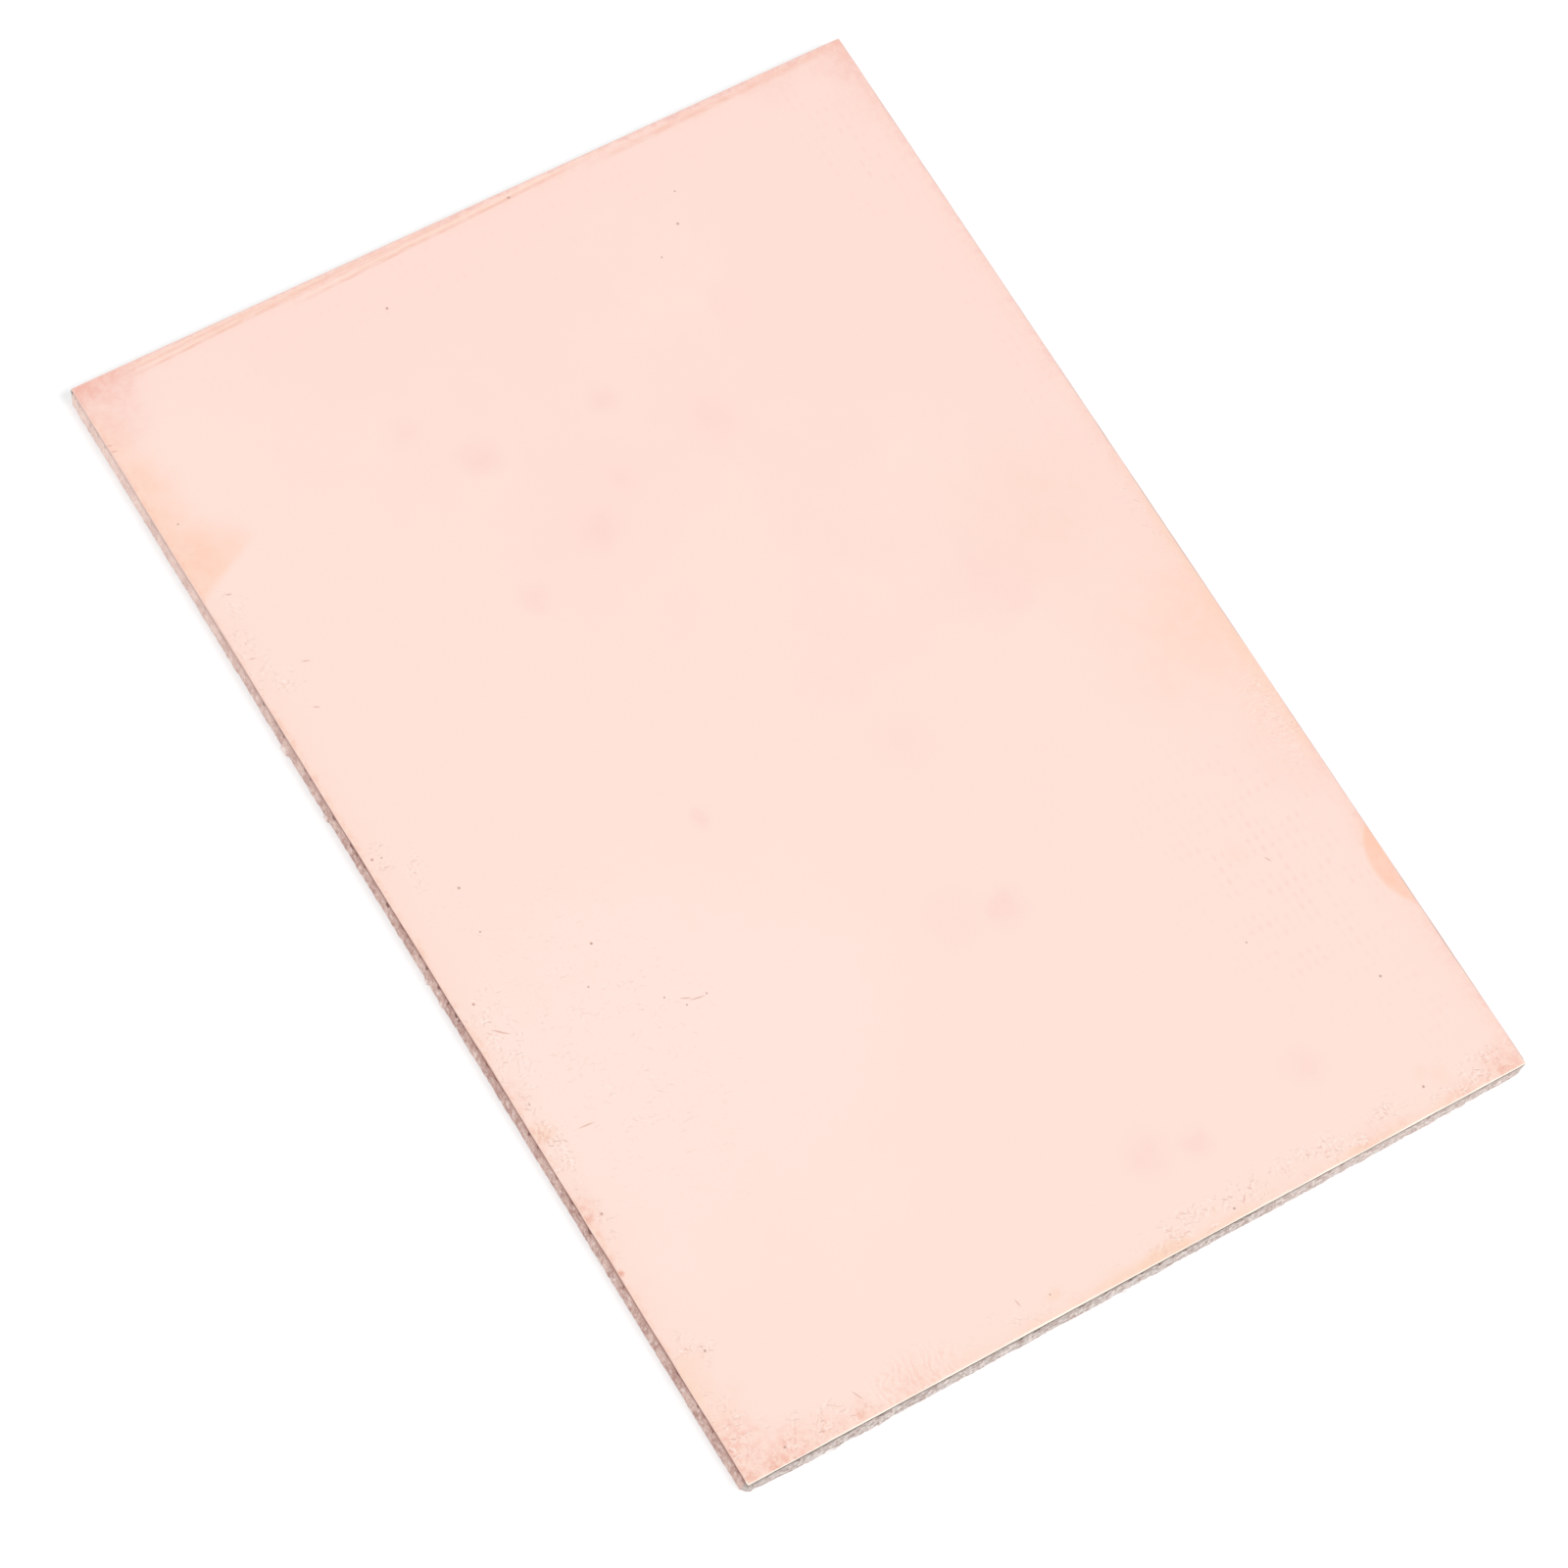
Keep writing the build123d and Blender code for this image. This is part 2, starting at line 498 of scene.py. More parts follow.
# Rolled copper, metallic: it mirrors the pale room softly, so it looks a very light pink.
# Tarnish gathers along the cut edges and corners, with stains, pinhead specks and fine scratches.
# Places and sizes are in mm from the middle of the board. A noise is its marks per mm, detail and roughness.
# A range is the part of a pattern that is used and, after that, the strengths that it gives.

copperLook = dict(
    face="#FFE3D8",
    mauve="#FFE0D7",
    glow="#FFE6DD",
    bondAndEdgeShade="#6E4C42",  # the brown treatment on the foil's bonded side; on the cut edge the same brown is painted shade under the lip
    burnishAndHighlight="#FFF5E8",  # where the blade polished the front rim, lighter still as a painted highlight on the rolled lip
    rimDarkReflection="#F3D3CA",  # the other rims, darker as a painted reflection of darker surroundings
    rimDrop=(0.018, 0.032),  # mm that the foil has sunk where the rim starts, and where it is full
    rimLine="#B98A78",  # the long sides end in a thin brown line
    lineDrop=(0.034, 0.046),
    lineStrength=0.8,
    lineRange=(-30.0, -12.0, 0.25, 1.0),  # along the board
    endInset=(0.5, 0.3),  # from where to where an end begins
    cutRange=(0.75, 0.45),  # how steep the cut edge is
    roughness=(0.30, 0.48),  # where bright, where tarnished
    # the drift of places, blotches of 2 mm, patches of half a millimetre, and clusters of nicks
    noises=dict(drift=(0.28, 4, 0.6), soft=(0.5, 4, 0.65), fine=(1.5, 3, 0.7), cluster=(0.7, 2, 0.6)),
    softMottle=(0.36, 0.64, 0.75, 1.1),
    fineMottle=(0.38, 0.62, 0.30, 1.15),
    bloomMottle=(0.38, 0.62, 0.65, 1.1),
    driftReach=(4.5, 1.8),  # how far the drift moves a wide mark and another one
    wideFrom=4.5,  # radius of a wide mark
    drawnBelow=0.2,  # a mark less blurred than this isn't moved
    # clouds: pinker toward the back end and the right side
    cloudNoise=(0.06, 4.0, 0.6),
    cloudLift=0.40,
    cloudSlopes=(-0.010, 0.0075, 1.3),  # by x, by y, by the noise
    cloudRange=(1.0, 1.5, 0.0, 0.9),
    glowAt=(20.0, -22.0, 0.0),
    glowDrift=-26.0,
    glowRange=(8.0, -6.0, 0.0, 0.8),
    yellow="#FFE6CC",  # a tint that comes and goes within the tarnish
    yellowRange=(0.53, 0.40, 0.0, 0.55),
    yellowFade=(-44.0, -48.5, 1.0, 0.15),  # along the board
    # side, how far in it reaches, strength, colour
    edgeTarnish=(
        ("back", 7, 0.3, "#FFDED5"),
        ("back", 1.9, 0.8, "#FEDACD"),
        ("back", 0.9, 0.5, "#FBD0C2"),
        ("back", 0.4, 0.8, "#F2C8C2"),
        ("right", 6, 0.3, "#FFDED4"),
        ("right", 1.8, 0.5, "#FDD4C7"),
        ("right", 0.6, 0.5, "#F8D0C8"),
        ("left", 3.2, 0.22, "#FEDECF"),
        ("left", 2.2, 0.3, "#FDDACE"),
        ("left", 0.55, 0.7, "#F9D0BE"),
        ("front", 3.4, 0.3, "#FEDFD0"),
        ("front", 1.2, 0.45, "#FCD8C8"),
    ),
    softFrom=2.5,  # tarnish that reaches further in is softer
    # slanting lines on the back end, left by what it lay against:
    # y and distance from the edge at both ends, width, strength, strength of the light line beside it
    contactLines=(
        (-31.5, 1.25, -8.0, 0.30, 0.46, 0.75, 0.7),
        (-32.5, 0.80, -17.0, 0.25, 0.36, 0.70, 0.6),
        (-28.0, 1.05, -2.0, 0.55, 0.34, 0.50, 0.3),
        (-17.0, 1.45, 13.0, 0.40, 0.50, 0.75, 0.7),
        (-12.0, 1.05, 8.0, 0.60, 0.36, 0.60, 0.4),
        (10.0, 1.00, 37.0, 0.42, 0.90, 0.65, 0.0),
        (-32.0, 0.60, 3.0, 0.35, 0.70, 0.55, 0.0),
    ),
    contact="#F6C6B4",
    contactBeside=0.24,  # toward the edge from each line to a light one
    contactLight="#FFE5D3",
    contactFade=0.6,  # share of a line that has its full strength
    streaks=((3.0, 0.7, 0), 4.0, 0.7),
    streakRange=(0.38, 0.60, 0.40, 1.10),
    # stains by colour: x, y, radius, how blurred from 0 to 1, strength
    stains={
        "#FFD9C8": ((7.5, 33, 13, 1, 0.6), (16.5, 36, 10, 1, 0.5), (3, 36, 7, 1, 0.4)),
        "#FFCFB8": ((6.5, 33.5, 6, 1, 0.15), (18, 35.6, 2.6, 0.8, 0.4), (31.2, 38.9, 5.8, 0.1, 0.85),
                    (28.6, 36.2, 3, 0.9, 0.5), (25, 24.5, 1.6, 1, 0.15)),
        "#FBD6BE": ((48.4, 7.2, 0.6, 0.8, 0.3), (48.2, -7.6, 0.8, 0.9, 0.5), (19.4, -34.1, 1.3, 0.7, 0.45),
                    (42.5, -35.8, 4.8, 1, 0.6), (47.4, 28.4, 1.3, 0.9, 0.25), (46.6, 27, 1, 0.9, 0.2)),
    },
    # pink bloom in the back corners: x, y, radius, how blurred, strength
    bloom={
        "#F8C8BC": ((-50, -33.6, 5.4, 0.8, 0.85), (-46, -34, 4.4, 1, 0.45), (-50, 35.4, 6, 1, 0.75),
                    (-45, 35.8, 5.5, 1, 0.4), (-49.8, 28, 4, 1, 0.3)),
        "#F0B7A8": ((-50, -35.4, 3.4, 1, 0.65), (-50.4, -31, 3, 1, 0.45), (-50.4, 35.4, 2, 1, 0.5)),
    },
    # long thin stains against the edges: x, y, half length along x, half width along y, strength
    edgeStains=(
        (50, 1.6, 1.2, 6.3, 0.95), (50, 8, 0.6, 3, 0.5), (50, -8, 0.45, 3.5, 0.45),
        (50, 20.5, 0.7, 3.6, 0.8), (50, 28, 0.9, 3, 0.5), (11, 35, 9, 1.2, 0.7),
        (0, 34.9, 8, 0.8, 0.6),
    ),
    edgeStain="#FCD9C4",
    # tarnish that comes in small patches: x, y, radius, how blurred, strength
    patchy={
        "#F7C3B3": ((49.6, -20, 3.4, 1, 0.45), (50.2, -28, 3.6, 1, 0.45), (50.2, 21, 3, 1, 0.3),
                    (47.5, -35.6, 4.6, 0.9, 0.8), (50.2, -31, 4.2, 0.9, 0.75), (49.9, 33.5, 3.4, 0.9, 0.6),
                    (26, -35.2, 2.6, 0.9, 0.5), (16, -35.4, 2.2, 0.9, 0.4), (50.2, -24.5, 2.6, 0.9, 0.55),
                    (50.4, 29, 2.6, 0.9, 0.45), (50.2, 24, 1.4, 0.9, 0.4)),
        "#EDB09C": ((49.8, -34.8, 1.6, 0.9, 0.55), (49.7, -32.4, 1.1, 0.8, 0.5), (49.4, -25, 0.7, 0.9, 0.5),
                    (49.4, 33.4, 1.1, 0.9, 0.35), (31.4, -34.6, 0.5, 0.8, 0.8), (19.7, -34.4, 0.8, 0.9, 0.55),
                    (26.8, -34.7, 0.7, 0.9, 0.4)),
    },
    # the orange patch by the back left corner, cut off by a straight line: x, y, radius, strength
    patch=((-32.6, -33.4, 5.4, 0.62), (-36.5, -35.8, 5.4, 0.6), (-40.5, -35.6, 5, 0.55),
           (-43.6, -35.8, 4.4, 0.4), (-30.8, -34.6, 3, 0.62)),
    patchTint="#FED0B8",
    patchBlur=0.8,
    patchLine=(-31.9, -30.1, 0),  # a point on the line
    patchLineFaces=(0.9026, 0.4308, 0),
    patchRange=(0.25, -0.45),  # how sharp the line is
    # faint tints by colour: x, y, radius, strength
    tints={
        "#FEDDD0": ((-7, 27, 12, 0.85), (-4, 31, 9, 0.4)),
        "#FDDAD1": ((20.3, 6.3, 2.6, 0.9), (19.2, 2.2, 3.6, 0.35), (43.3, 8.7, 2, 0.7), (42.4, 5, 3, 0.6),
                    (42, 19.6, 2.6, 0.55), (-30.7, -10, 2.4, 1), (-35, -14.3, 2.2, 0.5),
                    (-21.1, -5, 2.8, 0.8), (-25.3, 8, 2.8, 0.7), (-24, -1.2, 2, 0.5),
                    (3.3, -10.5, 1.4, 0.7), (-18.3, -12.4, 1.8, 0.6), (5, 6.3, 4, 0.3),
                    (-30.7, 1.3, 2, 0.7), (-33, 14.5, 3, 0.25), (-4, 20, 6, 0.35)),
    },
    # by radius: x, y
    specks={
        0.16: ((8.2, -23.2), (-0.3, -29.7), (8.3, -33.5), (27, -33.6), (39.7, -32.4), (47.8, 26.8), (38.7, 28.9),
               (-41.3, 14.5), (-45.1, -9.8), (-5.3, -34.3), (48.8, -31.1), (49.1, 8.5), (-49.3, 3.7)),
        0.11: ((14.5, -20.6), (11.1, -25.2), (17.1, -33.9), (3.5, -30.1), (31.5, 21.2), (-39.3, 11.8), (-43.9, 15.8),
               (-5.1, -33.6), (15.7, -17.6), (15.8, -19.4), (48.2, -7.5), (-36.2, -33.4)),
    },
    speck="#CFA899",
    speckCore=0.3,  # share of the radius that is full
    # x, y, length, turn in degrees: scratches long enough to see one by one
    scratches=(
        (15.7, -18.4, 1.6, 80), (15.3, -19.2, 1.1, 65), (20.5, -31, 1.6, 85), (11, -33, 1.1, 50),
        (11.3, -32.7, 1.3, 55), (26.5, 26.5, 0.8, 30), (48, -24.3, 1.3, 25),
        (-21.8, -30.5, 0.9, 70), (-18.1, -31.7, 0.7, 60), (48.8, 9.6, 1, 140), (47.6, -10, 0.9, 10),
        (-29.3, -32.9, 0.6, 70), (-23.8, -34, 0.7, 80), (-44.4, -34.8, 0.7, 75), (-43.8, -34.7, 0.8, 80),
    ),
    scratch="#E2B5A4",
    scratchWidth=0.15,
    scratchRange=(0.5, 0.2, 0.0, 0.8),
    # where handling left short nicks: x, y, half length, half width, strength
    nickZones=(
        (12, -33, 5, 2, 1), (20.5, -34.4, 5.5, 1.5, 1), (27, -34.3, 4.5, 1.3, 0.7),
        (39.5, -33.2, 2.2, 1.7, 0.8), (46.5, -33.8, 4.5, 1.8, 0.8), (16, -25.5, 15, 9, 0.32),
        (-23.5, -34, 3, 1.2, 0.8), (-5.2, -33.9, 1.2, 1.2, 0.9), (2, -31, 4, 2, 0.25),
        (-20.5, -32.8, 2.2, 1.2, 0.65), (-3, -31.8, 2, 1.3, 0.55), (-28.5, -32.6, 1.5, 1.3, 0.5),
        (48.8, -28, 1.6, 6, 0.9), (48.7, 6, 1.7, 8, 1), (48.8, 31, 1.7, 5, 1),
        (48.7, 18, 1.7, 8, 0.9), (17, 34, 6, 1.4, 0.5), (-4, 34, 9, 1.2, 0.35),
        (49, -10, 1.4, 5, 0.45), (-38, -34.4, 8, 1, 0.35),
    ),
    clusterRange=(0.42, 0.58),
    nickSpacing=0.55,
    nickSize=(0.85, 0.13),
    nickSpread=32,  # degrees that a nick may turn either way
    nickRange=(1.0, 0.4),
    nickChance=(0.45, 1.0),  # the nicks of this part of the cells show
    # dark nicks and light ones: colour, turn in degrees, shift, strength
    nicks=(("#DDB0A0", 62, 0, 0.9), ("#FFF3EC", 70, 7.3, 1.0)),
    # scuffs between the nicks, lit on one side and dark on the other
    scuffNoise=(1 / 0.34, 1.0, 0.5),  # 0.34 mm apart
    scuffStep=(0.07, 0.10, 0),
    scuffRange=(0.02, 0.16),
    scuffStrength=0.24,
    # where the weave of the glass shows through as rows of faint dimples
    weaveZones=((27, 27, 13, 8.5, 1), (42, 31, 8, 4, 0.5), (-42, 31, 10, 5, 0.8),
                (-46, 0, 4.5, 28, 0.35), (-20, 33, 14, 2.5, 0.5)),
    dimple="#F8CFC3",
    dimpleStrength=0.38,
    dimpleRange=(0.3, 1.5),
    dashShare=0.6,  # how much the dashes count beside the rows
    weavePitch=(1.1, 0.78),
    weaveRange=(0.45, 0.62),
    # ripples square to the front end, and to the right side
    endRipples=((49.2, -20.2, 2.8, 5.5, 1), (48.9, -28, 2, 3.5, 0.4)),
    sideRipples=((16.5, 33.6, 6.5, 2.4, 0.7), (44, 34, 4, 1.5, 0.3)),
    ripplePitch=(0.65, 0.55),
    rippleDrift=2.6,
    rippleRange=(0.1, 0.9),
    rippleStrength=0.5,
    rippleDark="#FBD6C5",
    rippleLight="#FFECE0",
)


def spotsMask(add, places, spots):
    # round marks, joined: one with a drawn outline stays in place, a wide one drifts more than the others
    place, near, loose = places
    masks = []
    for spot in spots:
        radius, blur = spot[2:4]
        around = place if blur < copperLook["drawnBelow"] else loose if radius > copperLook["wideFrom"] else near
        masks.append(spotMask(add, around, *spot))
    return joinMasks(add, masks)


def nickMask(add, place, turn, shift):
    # short strokes, one to a cell, each turned a little differently
    look = copperLook
    spot = add("VectorMath", place, (shift, -shift, 0), operation="ADD")
    cells = add("TexVoronoi", spot, 1 / look["nickSpacing"], voronoi_dimensions="2D")
    spot = add("VectorMath", spot, cells.outputs["Position"], operation="SUBTRACT")
    chance = add("SeparateColor", cells.outputs["Color"])
    turns = [math.radians(way * look["nickSpread"] - turn) for way in (-1, 1)]
    angle = add("MapRange", chance.outputs["Red"], 0.0, 1.0, *turns)
    spot = add("VectorRotate", spot, None, angle, rotation_type="Z_AXIS")
    spot = add("VectorMath", spot, [2 / size for size in look["nickSize"]] + [0], operation="MULTIPLY")
    spot = add("VectorMath", spot, operation="LENGTH")
    mask = add("MapRange", spot, *look["nickRange"])
    kept = add("MapRange", chance.outputs["Green"], *look["nickChance"])
    return product(add, mask, kept)


def contactMasks(add, x, y):
    # the slanting lines on the back end, and the light ones beside them
    darks, lights = [], []
    for startY, startIn, endY, endIn, width, strength, light in copperLook["contactLines"]:
        slope = (endIn - startIn) / (endY - startY)
        offset = add("Math", y, -slope, -startIn + slope * startY + halfX / mm, operation="MULTIPLY_ADD")
        offset = add("Math", offset, x, operation="ADD")
        along = add("Math", y, (startY + endY) / 2, operation="SUBTRACT")
        along = add("Math", along, operation="ABSOLUTE")
        half = abs(endY - startY) / 2
        along = add("MapRange", along, half, half * copperLook["contactFade"])
        for beside, full, found in ((0, strength, darks), (copperLook["contactBeside"], light, lights)):
            if full:
                mask = add("Math", offset, beside, operation="ADD") if beside else offset
                mask = add("Math", mask, operation="ABSOLUTE")
                mask = add("MapRange", mask, width / 2, 0.0, 0.0, full, **smooth)
                found.append(product(add, mask, along))
    return joinMasks(add, darks), joinMasks(add, lights)


def copperColour(add, place, x, y):
    look = copperLook
    noises = {name: add("TexNoise", place, *kind, noise_dimensions="2D") for name, kind in look["noises"].items()}
    soft, fine = noises["soft"], noises["fine"]
    softMottle = add("MapRange", soft, *look["softMottle"])
    fineMottle = add("MapRange", fine, *look["fineMottle"])
    bloomMottle = add("MapRange", fine, *look["bloomMottle"])
    # places are moved a little by noise, so that no mark has a drawn outline
    drift = add("VectorMath", noises["drift"].outputs["Color"], (0.5, 0.5, 0.5), operation="SUBTRACT")
    loose, near = [add("VectorMath", drift, (reach, reach, 0), place, operation="MULTIPLY_ADD")
                   for reach in look["driftReach"]]
    split = add("SeparateXYZ", near)
    nearX, nearY = [split.outputs[name] for name in "XY"]

    # clouds, and a lighter part round the middle of the left side
    cloud = add("TexNoise", loose, *look["cloudNoise"], noise_dimensions="2D")
    lean = look["cloudLift"]
    for part, slope in zip((x, y, cloud), look["cloudSlopes"]):
        lean = add("Math", part, slope, lean, operation="MULTIPLY_ADD")
    mauve = add("MapRange", lean, *look["cloudRange"], **smooth)
    away = add("VectorMath", loose, look["glowAt"], operation="DISTANCE")
    away = add("Math", cloud, look["glowDrift"], away, operation="MULTIPLY_ADD")
    glow = add("MapRange", away, *look["glowRange"], **smooth)
    colour = layColours(add, look["face"], ((mauve, look["mauve"]), (glow, look["glow"])))

    # tarnish from each cut edge; a mark is a mask, its colour and the mottle that breaks it up
    marks = []
    fromSide = {}
    for part, half, low, high in ((nearX, halfX / mm, "back", "front"), (nearY, halfY / mm, "left", "right")):
        fromSide[low] = add("Math", part, half, operation="ADD")
        fromSide[high] = add("Math", half, part, operation="SUBTRACT")
    for side, reach, strength, tint in look["edgeTarnish"]:
        mask = add("MapRange", fromSide[side], reach, 0.0, 0.0, strength, **smooth)
        marks.append((mask, tint, softMottle if reach > look["softFrom"] else fineMottle))

    # contact lines, stains, bloom and patchy tarnish
    streaks = stretchedNoise(add, place, *look["streaks"], noise_dimensions="2D")
    streaks = add("MapRange", streaks, *look["streakRange"])
    darks, lights = contactMasks(add, x, y)
    marks += [(lights, look["contactLight"], streaks), (darks, look["contact"], streaks)]
    marks.append((zoneMask(add, near, look["edgeStains"]), look["edgeStain"], softMottle))
    places = (place, near, loose)
    for group, mottle in (("stains", softMottle), ("bloom", bloomMottle), ("patchy", fineMottle)):
        marks += [(spotsMask(add, places, spots), tint, mottle) for tint, spots in look[group].items()]

    # the patch with one straight side
    patch = [spotMask(add, near, *spot[:3], look["patchBlur"], spot[3]) for spot in look["patch"]]
    past = add("VectorMath", place, look["patchLine"], operation="SUBTRACT")
    past = add("VectorMath", past, look["patchLineFaces"], operation="DOT_PRODUCT")
    past = add("MapRange", past, *look["patchRange"])
    marks.append((product(add, joinMasks(add, patch), past), look["patchTint"], softMottle))

    layers = [(product(add, mask, mottle), tint) for mask, tint, mottle in marks]
    tarnish = joinMasks(add, [mask for mask, tint in layers])
    grainy = [layer[0] for layer, mark in zip(layers, marks) if mark[2] == fineMottle]
    yellow = add("MapRange", fine, *look["yellowRange"])
    atBack = add("MapRange", x, *look["yellowFade"])
    layers.append((product(add, yellow, atBack, joinMasks(add, grainy)), look["yellow"]))

    # faint tints and pink spots
    for tint, spots in look["tints"].items():
        spots = spotsMask(add, places, [spot[:3] + (1.0,) + spot[3:] for spot in spots])
        layers.append((product(add, spots, softMottle), tint))

    # the weave below shows through as rows of dimples
    dashes, rows = [sineRows(add, along, pitch) for along, pitch in zip((x, y), look["weavePitch"])]
    dimples = add("Math", dashes, look["dashShare"], rows, operation="MULTIPLY_ADD")
    dimples = add("MapRange", dimples, *look["dimpleRange"])
    shown = add("MapRange", soft, *look["weaveRange"])
    zones = zoneMask(add, loose, look["weaveZones"])
    layers.append((product(add, dimples, shown, zones, look["dimpleStrength"]), look["dimple"]))

    # ripples square to the edges, tan and light in turn
    for along, zones, pitch in zip((y, x), (look["endRipples"], look["sideRipples"]), look["ripplePitch"]):
        along = add("Math", soft, look["rippleDrift"], along, operation="MULTIPLY_ADD")
        ripple = product(add, sineRows(add, along, pitch), zoneMask(add, near, zones), fineMottle)
        for sign, tint in ((1, look["rippleDark"]), (-1, look["rippleLight"])):
            span = [sign * height for height in look["rippleRange"]]
            layers.append((add("MapRange", ripple, *span, 0.0, look["rippleStrength"]), tint))

    # scuffs and nicks from handling, in clusters
    cluster = add("MapRange", noises["cluster"], *look["clusterRange"])
    worn = product(add, zoneMask(add, loose, look["nickZones"]), cluster)
    stepped = add("VectorMath", place, look["scuffStep"], operation="ADD")
    heights = [add("TexNoise", spot, *look["scuffNoise"], noise_dimensions="2D") for spot in (place, stepped)]
    scuffs = product(add, add("Math", *heights, operation="SUBTRACT"), worn)
    for sign, nicks in zip((1, -1), look["nicks"]):
        span = [sign * height for height in look["scuffRange"]]
        layers.append((add("MapRange", scuffs, *span, 0.0, look["scuffStrength"]), nicks[0]))
    for tint, turn, shift, strength in look["nicks"]:
        layers.append((product(add, nickMask(add, place, turn, shift), worn, strength), tint))

    # single scratches
    masks = []
    for spotX, spotY, length, turn in look["scratches"]:
        size = (length, look["scratchWidth"], 1)
        line = add("Mapping", place, (spotX, spotY, 0), (0, 0, math.radians(turn)), size, vector_type="TEXTURE")
        line = add("VectorMath", line, operation="LENGTH")
        masks.append(add("MapRange", line, *look["scratchRange"]))
    layers.append((joinMasks(add, masks), look["scratch"]))

    # dark pinhead specks
    for radius, spots in look["specks"].items():
        nearest = radius
        for spotX, spotY in spots:
            away = add("VectorMath", place, (spotX, spotY, 0), operation="DISTANCE")
            nearest = add("Math", away, nearest, operation="MINIMUM")
        span = (radius, radius * look["speckCore"])
        layers.append((add("MapRange", nearest, *span, **smooth), look["speck"]))
    return layColours(add, colour, layers), tarnish


def makeCopperMaterial():
    look = copperLook
    material = bpy.data.materials.new("copperRolledBright")
    add = emptyTree(material)
    solid, (x, y, z), facing = boardPlace(add)
    place = add("VectorMath", solid, (1.0, 1.0, 0.0), operation="MULTIPLY")
    colour, tarnish = copperColour(add, place, x, y)
    rough = add("MapRange", tarnish, 0.0, 1.0, *look["roughness"])
    # the drawn rim is polished at the front end and lightened there as a painted highlight, and darker elsewhere as
    # a painted reflection
    endFrom, endTo = [halfX / mm - inset for inset in look["endInset"]]
    rim, line = [add("MapRange", z, *[topZ / mm - drop for drop in look[name]]) for name in ("rimDrop", "lineDrop")]
    atFront = add("MapRange", x, endFrom, endTo)
    rimColour = add("Mix", atFront, look["rimDarkReflection"], look["burnishAndHighlight"], data_type="RGBA")
    onSides = add("Math", x, operation="ABSOLUTE")
    onSides = add("MapRange", onSides, endTo, endFrom)
    along = add("MapRange", x, *look["lineRange"])
    line = product(add, line, look["lineStrength"], onSides, along)
    # the bonded side is brown from its treatment, and the cut edge is the same brown as painted shade
    cut = add("MapRange", facing, *look["cutRange"])
    colour = layColours(add, colour, ((rim, rimColour), (line, look["rimLine"]), (cut, look["bondAndEdgeShade"])))
    surface = add("BsdfPrincipled", colour, 1.0, rough)
    add("OutputMaterial", surface)
    return material


# Glass-epoxy laminate, sheared: pale and dull. The blade left an upright band of burnished resin, painted dark also
# as shade on the upright face, and below it the tear is fibrous, with a whitish fringe along its foot. The underside
# is smooth resin over the weave.
# Sizes in mm. A noise is its marks per mm along x, y and z, then detail and roughness.

laminateLook = dict(
    # on the long sides, and on the ends, where the glass is cut across its length and shows greyer
    pale=("#D6B7AD", "#CAC1BD"),
    shade=("#B38C83", "#A5918B"),
    # the upright band: burnished resin, darkened as painted shade on the upright face
    shearedAndShade=("#6E433A", "#4F3D36"),
    shadeUnder=("#A5796D", "#8E7B71"),  # below the upright band the tear starts darker
    endInset=(0.35, 0.30),  # from where to where an end begins
    # yarns stand upright on the long sides and lie along the edge on the ends
    yarnsPerMm=((1.5, 1.5, 0.5), (1.3, 1.3, 4.2)),
    yarnNoise=(3.0, 0.6),
    yarnRange=(0.40, 0.60, 0.0, 1.0),
    strands=((5.0, 5.0, 3.0), 3.0, 0.6),
    brightRange=(0.53, 0.68, 0.0, 0.45),
    darkRange=(0.46, 0.34, 0.0, 0.50),
    chips=((2.4, 2.4, 2.4), 2.0, 0.6),
    chipRange=(0.54, 0.64, 0.0, 0.50),
    ragged=((1.1, 1.1, 1.1), 3.0, 0.65),
    raggedDrift=(1.2, -0.6),
    startRange=(0.80, 1.25, 0.0, 0.62),  # by height, where the tear starts
    hangRange=(0.44, 0.34, 0.0, 0.26),  # yarns that hang down from the dark band, by how much
    splits=((1.7, 1.7, 0.25), 1.0, 0.5),
    splitRange=(0.62, 0.72, 0.0, 0.40),
    bandFoot=(1.39, 1.245),  # height where the dark band ends, on the sides and the ends
    bandRange=(-0.05, 0.05, 0.0, 0.95),
    cornerAt=(halfX / mm, -halfY / mm, 1.4),  # the band is weak at the front left corner
    cornerRange=(0.5, 2.0, 0.45, 1.0),
    torn="#EED3CB",
    fringeDrift=0.5,
    fringeRange=(0.44, 0.38, 0.0, 0.7),
    glass="#EBDDD7",
    paintedLight="#FFE6DC",  # painted light: stretches of the cut made lighter, as if better lit
    paintedLightBack=(-6.0, -42.0, 0.0, 0.50),  # toward the back end
    paintedLightRight=(6.0, 15.0, 0.0, 0.12),  # on the right of the front end
    lump="#FBEDE6",  # the torn lumps are whitish resin
    lumpMark=(0.36, 0.20, 0.75),  # how far out, half width, strength
    underRange=(-0.7, -0.9),  # how far down the underside faces
    underside=("#D3C0B1", "#E3D2C4"),
    yarnPitch=(0.58, 0.82),  # warp along the board, weft across it
    weaveShare=0.5,
    weaveRange=(0.4, 1.0),
    blotches=((0.15, 0.15, 0.15), 3.0, 0.5),
    roughness=(0.65, 0.38),  # of the cut, of the underside
    fibreBump=(0.6, 0.03 * mm),
    weaveBump=(0.25, 0.01 * mm),
)


